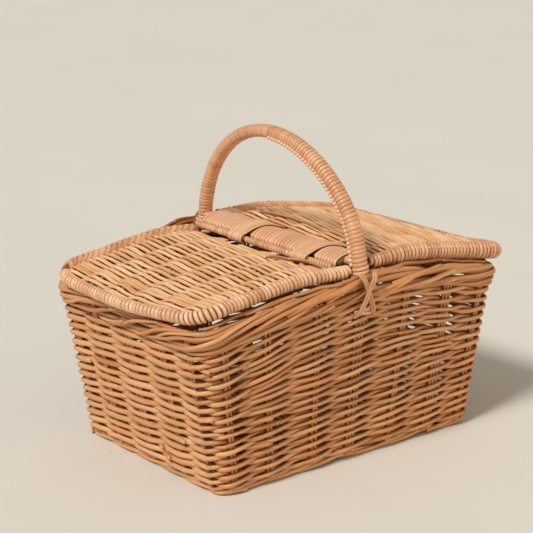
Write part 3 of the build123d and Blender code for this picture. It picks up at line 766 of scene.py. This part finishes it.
# ---- lids
LID_RADIUS = 0.86952
LID_TOP = 0.2183
ROLL_RADIUS = 0.0085
HINGE_X = 0.0265
HINGE_Z = 0.2175
LOOP_YS = (-0.067, 0.041)
LOOP_HALF = 0.0120
BAR_HALF = 0.117
RIB_YS = (-0.102, -0.065, -0.026, 0.017, 0.061, 0.102)


def between_loops(begin, end, margin):
    """Spans along Y from begin to end that stay margin clear of the middle of each hinge loop."""
    stops = [begin]
    for loop_y in LOOP_YS:
        stops += [loop_y - margin, loop_y + margin]
    stops.append(end)
    return list(zip(stops[0::2], stops[1::2]))


def lid_z(x):
    """Height of a lid at x, on its arched middle surface."""
    return LID_TOP - LID_RADIUS + np.sqrt(LID_RADIUS ** 2 - np.asarray(x) ** 2)


def lid_plan():
    """The right lid's frame in plan, from its front hinge end round to its back one."""
    length, half_width, corner, end_lean = 0.215, 0.1288, 0.032, radians(3.8)
    slope = 0.0073 / length
    turn_in = atan(slope)
    bend_x = length - corner
    first = [(x, slope * x - half_width) for x in np.linspace(0.0135, bend_x, 44, endpoint=False)]
    centre_x = bend_x - sin(turn_in) * corner
    centre_y = slope * bend_x - half_width + cos(turn_in) * corner
    arc = [(centre_x + corner * sin(a), centre_y - corner * cos(a))
           for a in np.linspace(turn_in, pi / 2 - end_lean, 16)]
    x_end, y_end = arc[-1]
    bulge = abs(y_end) * tan(end_lean / 2)
    half = [(x_end + bulge * (1 - (y / y_end) ** 2), y) for y in np.linspace(y_end, 0, 24)[1:]]
    near = first + arc + half
    far = [(x, -y) for x, y in reversed(near[:-1])]
    return np.array(near + far)


PLAN = lid_plan()
FRONT_EDGE = PLAN[: (len(PLAN) + 1) // 2]


def roll_edge(x):
    """Half width of the lid at x, to the middle of its roll."""
    keep = np.concatenate([[True], np.diff(FRONT_EDGE[:, 0]) > 0])
    return np.interp(x, FRONT_EDGE[keep][:, 0], -FRONT_EDGE[keep][:, 1])


def lid_point(side, x, y, height=0.0):
    """A place on a lid, with the sag and swell of the real lids. x counts out from the middle."""
    near = np.clip(0.5 - y / 0.25, 0, 1)
    z = lid_z(x) - 0.0019 * smooth((x - 0.190) / 0.025)
    if side > 0:
        z = z + 0.0017 * smooth((x - 0.015) / 0.05)
        z = z + 0.0015 * np.exp(-(((x - 0.080) / 0.028) ** 2))
        corner = smooth((x - 0.150) / 0.060) * smooth(-y / 0.120)
        x = x + (0.0075 * near - 0.0010) * smooth((x - 0.14) / 0.07) + 0.0035 * corner
        y = y - 0.0030 * corner
    else:
        z = z - 0.0054 * (1 - smooth((x - 0.010) / 0.075))
        z = z - 0.0043 * (1 - near) * smooth((0.200 - x) / 0.060)
        corner = smooth((x - 0.130) / 0.070) * smooth(-y / 0.120)
        z = z + 0.0050 * corner
        x = x - 0.0060 * corner
        y = y - 0.0040 * corner
        y = y - 0.0068 * (1 - smooth(x / 0.110)) * smooth(y / 0.125)
    return np.column_stack([side * x, y, z + height])


def rib_phase(y):
    """Half turns of the lid weave, one for each rib passed."""
    places = (-0.128,) + RIB_YS + (0.128,)
    return np.interp(y, places, (-0.7, 0, 1, 2, 3, 4, 5, 5.7))


def roll_lid_edge(side, body, seed):
    """The frame rod of a lid, and the cane wound round it and round the hinge rod."""
    plan = PLAN if side > 0 else PLAN[:-2]
    path = Path(lid_point(side, plan[:, 0], plan[:, 1]), (0, 0, 1))
    table = rounded_section(2 * ROLL_RADIUS, 2 * ROLL_RADIUS, ROLL_RADIUS - 1e-5)
    near_end, far_start = 0.200, path.length - 0.190
    near_size = 1.16 if side > 0 else 0.92
    thin_from = near_end + (0.015 if side > 0 else -0.030)

    def grow(s):
        """The near side of the roll has its own size, and both ends round off."""
        from_end = np.minimum(s, path.length - s)
        dome = np.sqrt(np.clip(1 - (1 - np.clip(from_end / 0.004, 0, 1)) ** 2, 0.25, 1))
        size = near_size + (0.79 - near_size) * smooth((s - thin_from) / 0.05)
        if side > 0:
            size = size - 0.26 * (1 - smooth((s - 0.012) / 0.050))
        size = size + 0.14 * smooth((s - path.length + 0.210) / 0.04)
        return dome * size

    def pitch(s):
        return 0.0051 if s < near_end + 0.01 else 0.0060

    def slant(point):
        """The far side's turns lean forward towards the hinge."""
        return 1.30 * point[:, 1]

    roll = Bundle(seed + 1)
    wind(roll, path, table, 0.0, far_start, pitch, 14, grow, tone=0.41 if side > 0 else 0.54,
         hand=side, thick=0.0018, jitter=0.22, fill=0.44, tone_spread=0.13)
    wind(roll, path, table, far_start, path.length, 0.0088 if side < 0 else 0.0072, 14, grow,
         tone=0.42, hand=-side, thick=0.0024, jitter=0.25, fill=0.41, bow=slant)
    # Finer cane is wound on the hinge rod between the loops.
    axle = Path(along_y(side * HINGE_X, np.array([-BAR_HALF, BAR_HALF]), HINGE_Z), (0, 0, 1))
    ring = rounded_section(0.0080, 0.0080, 0.00399)
    for begin, end in between_loops(-BAR_HALF, BAR_HALF, LOOP_HALF + 0.0025):
        wind(roll, axle, ring, begin + BAR_HALF, end + BAR_HALF, 0.0050, 10, thick=0.0009,
             tone=0.45, hand=side, jitter=0.15)
    roll.piece(f"{body}_roll", "cane_wrapping", CANE_MAT, [f"{body}_frame_wrap"], body)
    core = Bundle(seed + 2)
    # The rod inside the roll is painted dark: painted shade in the gaps between the turns.
    liner(core, path, table, 0.0015, path.length - 0.0015, 0.0021, 0.35, grow)
    core.piece(f"{body}_frame_rod", "core_rods", CORE_SHADE, [f"{body}_frame"], body)


def weave_lid(side, body, seed):
    """The rods woven across a lid's ribs."""
    weave = Bundle(seed + 5)
    rng = weave.rng
    rows = np.concatenate([np.arange(0.0333, 0.186, 0.00405), np.arange(0.1865, 0.2105, 0.0032)])
    for k, x0 in enumerate(rows):
        reach = float(roll_edge(x0)) - 0.004
        # The rows beside the hinge rod stop short of the loops.
        spans = between_loops(-reach, reach, 0.0142) if x0 < 0.038 else [(-reach, reach)]
        shade = rng.normal(0.52, 0.09)
        radius = 0.00215 * rng.uniform(0.86, 1.10)
        bend_seed = int(rng.uniform(0, 1e5))
        swell = 0.0013 + (0.0016 if side < 0 else 0.0021) * smooth((x0 - 0.032) / 0.015)
        double = rng.uniform() < 0.35
        for begin, end in spans:
            n = max(6, int((end - begin) / 0.0034))
            y = np.linspace(begin, end, n)
            # Each rod climbs a rib steeply on its far side and runs down slowly on its near one.
            theta = pi * (rib_phase(y) + k % 2)
            wave = np.cos(theta + 0.5 * (1 - np.cos(theta)))
            bend = wander(np.random.default_rng(bend_seed), y, 0.0010, 0.09)
            x = x0 + bend + side * 0.0013 * np.sin(theta)
            up = np.column_stack([side * x / LID_RADIUS, np.zeros(n), np.ones(n)])
            radii = radius * (1 + wander(rng, y, 0.05, 0.07))
            # Painted light and shade: each rod is painted lighter where it rides high over a rib and
            # darker where it dips under one.
            tones = shade + wander(rng, y, 0.06, 0.1) + 0.12 * wave
            # A few places are filled with two thinner rods side by side.
            thin = 0.62 if double else 1.0
            for shift, lighter in ((-0.00135, 0.0), (0.00135, 0.08)) if double else ((0.0, 0.0),):
                line = lid_point(side, x + shift, y, swell * wave)
                widths = radii * thin * (1.12 + 0.20 * wave)
                weave.sweep(line, widths, radii * 0.84 * thin, up, ROUND, tones + lighter)
    # One loose rod lies across each lid.
    if side > 0:
        course = [(0.050, 0.100), (0.056, 0.045), (0.051, -0.014)]
    else:
        course = [(0.052, -0.040), (0.046, -0.066), (0.035, -0.084), (0.036, -0.118)]
    t = np.linspace(0, 1, 26)
    flat = take(t, np.linspace(0, 1, len(course)), np.array(course))
    height = 0.0061 - 0.004 * (2 * t - 1) ** 8
    line = lid_point(side, flat[:, 0] + wander(rng, t, 0.0008, 0.6), flat[:, 1], height)
    weave.rod(line, 0.0017, 0.22, cut_tone=0.8)
    weave.piece(f"{body}_weave_rods", "lid_weave", LIDS, [f"{body}_weave"], body)


def make_lid(side, body):
    """All of a lid: side is 1 for the right one and -1 for the left one."""
    seed = 100 if side > 0 else 200
    roll_lid_edge(side, body, seed)

    rod = Bundle(seed + 3)
    y = np.linspace(-0.1215, 0.1215, 120)
    in_loop = sum(1 - smooth((np.abs(y - loop_y) - LOOP_HALF) / 0.006) for loop_y in LOOP_YS)
    radius = 0.0028 + 0.0009 * np.clip(in_loop, 0, 1)
    # The dowel is painted in the dark core colour: painted shade, so it reads as the shadow line beside
    # the centre bar.
    rod.rod(along_y(side * HINGE_X, y, HINGE_Z), radius, 0.42 + wander(rod.rng, y, 0.08, 0.1))
    rod.piece(f"{body}_hinge_dowel", "core_rods", CORE_SHADE, [f"{body}_hinge_rod"], body)

    ribs = Bundle(seed + 4)
    for y0 in RIB_YS:
        x = np.linspace(0.0365, 0.213 if abs(y0) < 0.09 else 0.205, 40)
        bend = wander(ribs.rng, x, 0.0012, 0.16)
        ribs.rod(lid_point(side, x, y0 + bend), 0.0020, ribs.rng.normal(0.45, 0.1))
    ribs.piece(f"{body}_rib_rods", "lid_weave", STAKE, [f"{body}_ribs"], body)
    weave_lid(side, body, seed)


# ---- handle
FOOT_Y = 0.136
RISE = 0.1217
CROWN_Y = 0.006
LEAN = radians(3.9)
FULL = 0.69
ENTRY = 0.080
FOOT_SHIFT = 0.0040


def arc(y, z, radius, begin, end, steps, endpoint=False):
    """Points on a circle round (y, z), at angles from its top."""
    return [(y + radius * sin(a), z + radius * cos(a))
            for a in np.linspace(begin, end, steps, endpoint=endpoint)]


def half_arch(side):
    """Points of half the handle in its own plane, from the crown to the foot and into the wall."""
    reach = FOOT_Y - side * CROWN_Y
    shoulder_y, drop = reach * FULL, RISE * (1 - FULL)
    top_radius = (shoulder_y ** 2 + drop ** 2) / (2 * drop)
    slope = asin(shoulder_y / top_radius)
    fall_y, fall_z = reach - shoulder_y, RISE * FULL
    foot_slope = 2 * atan2(fall_z, fall_y) - slope
    leg_radius = hypot(fall_y, fall_z) / (2 * sin((foot_slope - slope) / 2))
    wall_lean = atan((HIGH.reach[0] + HIGH.bow[0] - LOW.reach[0]) / (HIGH.z - LOW.z))
    wall_slope = pi / 2 + wall_lean
    points = arc(0, -top_radius, top_radius, 0, slope, 40)
    points += arc(shoulder_y - leg_radius * sin(slope), -drop - leg_radius * cos(slope),
                  leg_radius, slope, foot_slope, 40)
    points += arc(reach - ENTRY * sin(foot_slope), -RISE - ENTRY * cos(foot_slope),
                  ENTRY, foot_slope, wall_slope, 10, endpoint=True)
    y, z = points[-1]
    for step in np.linspace(0, 0.075, 14)[1:]:
        points.append((y + step * cos(wall_slope), z - step * abs(sin(wall_slope))))
    return [(CROWN_Y + side * a, HINGE_Z + RISE + b) for a, b in points]


def handle_path():
    """The handle's middle line, leaning to -X, with its front foot drawn that way too."""
    y, z = np.array(half_arch(-1)[::-1] + half_arch(1)[1:]).T
    up = z - HINGE_Z
    points = np.column_stack([-up * sin(LEAN), y, HINGE_Z + up * cos(LEAN)])
    points[:, 0] -= FOOT_SHIFT * smooth((0.275 - points[:, 2]) / 0.065) * (points[:, 1] < 0)
    # Up of the section points out of the arch, so right of the path stays across it.
    out = points - np.array([0.0, CROWN_Y, HINGE_Z + 0.02])
    out[:, 0] = 0
    return Path(points, out)


def build_handle():
    """The bow, its winding and the lashing round each foot."""
    path = handle_path()
    inside = np.where(path.points[:, 2] > HINGE_Z - 0.0115)[0]
    begin, end = path.s[inside[0]], path.s[inside[-1]]
    table = rounded_section(0.017, 0.014, 0.0065)
    wrap = Bundle(301)
    wind(wrap, path, table, begin, end, 0.0042, 20, thick=0.0006, fill=0.5, tone=0.56,
         jitter=0.07, hand=-1, tone_spread=0.06)
    # A thin cane laced along the edge towards -X of the front half, showing between the turns.
    n = 900
    s = np.linspace(begin + 0.012, (begin + end) / 2, n)
    centre, right, up = path.at(s)
    edge = -1 if right[n // 2][0] > 0 else 1
    beads = np.sin(TAU * s / 0.0046)
    line = centre + right * (edge * (0.0079 + 0.0006 * beads))[:, None] - up * 0.0042
    wrap.rod(line, 0.0015 + 0.0006 * beads, 0.86, up)
    wrap.piece("handle_cane_winding", "cane_wrapping", BOW_CANE, ["handle_wrap"])
    core = Bundle(302)
    core_table = rounded_section(0.0146, 0.0116, 0.0054)
    liner(core, path, core_table, begin + 0.001, end - 0.001, 0.0, 0.35)
    tail_table = rounded_section(0.012, 0.008, 0.0034)
    liner(core, path, tail_table, 0.0, begin + 0.004, 0.0, 0.45)
    liner(core, path, tail_table, end - 0.004, path.length, 0.0, 0.45)
    core.piece("handle_bow", "core_rods", CORE_SHADE, ["handle_core"])

    for name, foot, sign in (("front", begin, 1), ("back", end, -1)):
        lash = Bundle(311 if sign > 0 else 312)
        wide = rounded_section(0.0184, 0.0160, 0.0075)
        a, b = sorted((foot - sign * 0.0005, foot + sign * 0.0125))
        wind(lash, path, wide, a, b, 0.0046, 20, thick=0.0009, tone=0.6, jitter=0.04, hand=-1)
        # The back foot carries a loose knot of pale cane.
        for k in range(5 if sign < 0 else 0):
            around = np.linspace(0, TAU, 30, endpoint=False)
            centre, right, up = path.at(np.array([foot - 0.003 * k + 0.004]))
            radius = 0.0101 + 0.0005 * k + 0.0005 * np.sin(3 * around + k)
            ring = np.outer(np.cos(around) * radius, right[0])
            ring = ring + np.outer(np.sin(around) * radius, up[0])
            tilt = np.outer(0.0045 * np.cos(around + 2.1 * k), np.cross(up[0], right[0]))
            tone = lash.rng.normal(0.72, 0.06)
            lash.sweep(centre + ring + tilt, 0.0021, 0.0013, ring, CANE, tone, closed=True)
        nodes = [f"foot_lashing_{name}"]
        lash.piece(f"foot_lashing_{name}_turns", "cane_lashing", LASH, nodes)


def cross_lash(name, side):
    """Split cane crossed over the rim below one foot of the handle, with a small knot below."""
    lash = Bundle(321 if side < 0 else 322)
    rng = lash.rng
    q0 = 0.5 if side < 0 else 4.5
    turn = 1 if side < 0 else -1
    length = 2 * HIGH.half[0]
    foot_x = -FOOT_SHIFT if side < 0 else 0.0
    ends = [(-0.011, 0.011), (-0.0075, 0.0145), (0.011, -0.011), (0.0075, -0.0145)]
    for k, (top_x, low_x) in enumerate(ends):
        t = np.linspace(0, 1, 22)
        z = 0.2145 - t * (0.046 + rng.uniform(-0.001, 0.003))
        x = foot_x + top_x + (low_x - top_x) * t + wander(rng, t, 0.0006, 0.7)
        offset = 0.0108 + 0.0011 * (k // 2) - 0.0045 * np.clip((t - 0.72) / 0.28, 0, 1) ** 2
        offset = offset - 0.005 * np.clip((0.16 - t) / 0.16, 0, 1)
        line, normal = wall(q0 + turn * x / length, z, offset)
        lash.sweep(line, 0.0018, 0.0011, normal, CANE, rng.normal(0.36, 0.1))
    for drop, rise in ((0.0, 0.0022), (0.0042, -0.0016)):
        t = np.linspace(-1, 1, 14)
        q = q0 + turn * (foot_x + 0.0125 * t) / length
        line, normal = wall(q, 0.1745 - drop + rise * t, 0.0096 - 0.0052 * t ** 2)
        lash.sweep(line, 0.0019, 0.0011, normal, CANE, rng.normal(0.45, 0.1))
    nodes = [f"cross_lashing_{name}"]
    lash.piece(f"cross_lashing_{name}_strips", "cane_lashing", LASH, nodes)


# ---- centre bar
BAR_MIDDLE_Z = 0.2215


def build_bar():
    """The board between the handle's feet, its winding, and the two hinge loops over it."""
    path = Path(along_y(0.0, np.linspace(-BAR_HALF, BAR_HALF, 80), BAR_MIDDLE_Z), (0, 0, 1))
    table = crowned_section(0.0436, -0.0060, 0.0015, 0.0060, 0.0015)

    def bow(point):
        """The turns lean across the bar in a shallow curve."""
        x = point[:, 0]
        return 0.0034 * (1 - (x / 0.0218) ** 2) * np.sign(point[:, 1]) + x * 0.10

    wrap = Bundle(401)
    for a, b in between_loops(-BAR_HALF, BAR_HALF, LOOP_HALF):
        wind(wrap, path, table, a + BAR_HALF + 0.0015, b + BAR_HALF - 0.0015, 0.0053, 44, tone=0.6,
             jitter=0.07, bow=bow, tone_spread=0.06)
    # The tongues between the bar and the handle's feet are bound as well.
    spine = Path(along_y(0.0, np.linspace(-0.128, 0.128, 40), BAR_MIDDLE_Z), (0, 0, 1))
    for a, b in ((0.0005, 0.0125), (spine.length - 0.0125, spine.length - 0.0005)):
        wind(wrap, spine, rounded_section(0.0190, 0.0090, 0.0042), a, b, 0.0042, 20, tone=0.55,
             jitter=0.05)
    wrap.piece("centre_bar_winding", "cane_wrapping", CANE_MAT, ["centre_bar_wrap"])
    core = Bundle(402)
    inner = crowned_section(0.0406, -0.0045, 0.0001, 0.0045, 0.0012)
    liner(core, path, inner, 0.0, path.length, 0.0, 0.35)
    liner(core, spine, rounded_section(0.016, 0.006, 0.002), 0.0, spine.length, 0.0, 0.4)
    core.piece("centre_bar_board", "core_rods", CORE_SHADE, ["centre_bar_core"])

    strands = 6
    flat, flat_normal = loop_line()
    for k, (name, loop_y) in enumerate(zip(("front", "back"), LOOP_YS)):
        loop = Bundle(411 + k)
        for strand in range(strands):
            y = loop_y + (strand - (strands - 1) / 2) * 2 * LOOP_HALF / strands
            line, normal = np.insert(flat, 1, y, axis=1), np.insert(flat_normal, 1, 0.0, axis=1)
            tone = 0.64 + loop.rng.normal(0, 0.05)
            loop.sweep(line, 0.00200, 0.00105, normal, CANE, tone, closed=True)
        nodes = [f"hinge_loop_{name}"]
        loop.piece(f"hinge_loop_{name}_strands", "cane_lashing", LASH, nodes)


def loop_line():
    """A hinge loop's course in the XZ plane: over the bar, round one rod, under and round the other."""
    eye, crown, dome, bottom = 0.00502, 0.2286, 0.055, 0.2144

    def bend(x, begin, end):
        """Round the hinge rod at x, from one angle to another."""
        return [(x + eye * cos(a), HINGE_Z + eye * sin(a))
                for a in np.radians(np.linspace(begin, end, 17))]

    points = [(x, crown - dome + sqrt(dome ** 2 - x ** 2))
              for x in np.linspace(-0.0185, 0.0185, 16)]
    points += bend(HINGE_X, 78, -104)
    points += [(x, bottom) for x in np.linspace(0.0190, -0.0190, 14)]
    points += bend(-HINGE_X, 284, 102)
    points = np.array(points)
    tangent = unit(np.roll(points, -1, 0) - np.roll(points, 1, 0))
    return points, np.column_stack([-tangent[:, 1], tangent[:, 0]])


weave_walls()
stand_stakes()
plait_rim()
lay_foot()
weave_base()
make_lid(1, "right_lid")
make_lid(-1, "left_lid")
build_handle()
cross_lash("front", -1)
cross_lash("back", 1)
build_bar()


# ---- stage, light and camera
scene = bpy.context.scene


def plain_floor():
    """A pale matt floor with a faint cloudiness."""
    mat, node = new_material("pale_floor")
    place = node("ShaderNodeTexCoord").outputs["Object"]
    cloud = node("ShaderNodeTexNoise", {"Vector": place, "Scale": 3.0, "Detail": 4.0})
    ramp = node("ShaderNodeValToRGB", {0: cloud.outputs["Fac"]})
    ramp.color_ramp.elements[0].color = (0.665, 0.64, 0.585, 1)
    ramp.color_ramp.elements[1].color = (0.725, 0.70, 0.645, 1)
    inputs = {"Base Color": ramp.outputs[0], "Roughness": 0.7, "Specular IOR Level": 0.2}
    node("ShaderNodeOutputMaterial", {0: node("ShaderNodeBsdfPrincipled", inputs).outputs[0]})
    return mat


def add_light(name, kind, aim, place=(0, 0, 0), **values):
    """A light at place that shines along aim."""
    data = bpy.data.lights.new(name, kind)
    for key, value in values.items():
        setattr(data, key, value)
    light = bpy.data.objects.new(name, data)
    light.location = place
    light.rotation_mode = "QUATERNION"
    light.rotation_quaternion = Vector(aim).to_track_quat("-Z", "Y")
    scene.collection.objects.link(light)


floor_mesh = bpy.data.meshes.new("floor")
floor_corners = [(12.0 * x, 12.0 * y, 0) for x, y in ((-1, -1), (1, -1), (1, 1), (-1, 1))]
floor_mesh.from_pydata(floor_corners, [], [(0, 1, 2, 3)])
floor = bpy.data.objects.new("floor", floor_mesh)
floor_mesh.materials.append(plain_floor())
scene.collection.objects.link(floor)

world = bpy.data.worlds.new("studio")
world.use_nodes = True
world.node_tree.nodes["Background"].inputs["Color"].default_value = (1.0, 0.935, 0.83, 1)
world.node_tree.nodes["Background"].inputs["Strength"].default_value = 0.40
scene.world = world

add_light("key", "SUN", (1.9, 0.45, -2.3), energy=2.6, angle=radians(15), color=(1.0, 0.97, 0.93))
add_light("warm_fill", "AREA", (-0.9, 2.4, -0.45), (0.9, -2.4, 0.55), shape="DISK", size=1.4,
          energy=13, color=(1.0, 0.74, 0.48))

camera_data = bpy.data.cameras.new("camera")
camera = bpy.data.objects.new("camera", camera_data)
scene.collection.objects.link(camera)
scene.camera = camera
camera_data.sensor_width = 36.0
camera_data.lens = 121.61854
camera_data.clip_start, camera_data.clip_end = 0.05, 60.0
pitch, heading, distance = radians(15.92), radians(38.94), 1.99287
forward = Vector(
    (sin(heading) * cos(pitch), cos(heading) * cos(pitch), -sin(pitch))
)
right = Vector((cos(heading), -sin(heading), 0))
up = right.cross(forward)
place = Vector((0, 0, 0.150)) - forward * distance + right * -0.0149 + up * 0.0363
camera.matrix_world = Matrix((
    (right.x, up.x, -forward.x, place.x),
    (right.y, up.y, -forward.y, place.y),
    (right.z, up.z, -forward.z, place.z),
    (0, 0, 0, 1),
))

scene.view_settings.view_transform = "Standard"
scene.view_settings.look = "None"
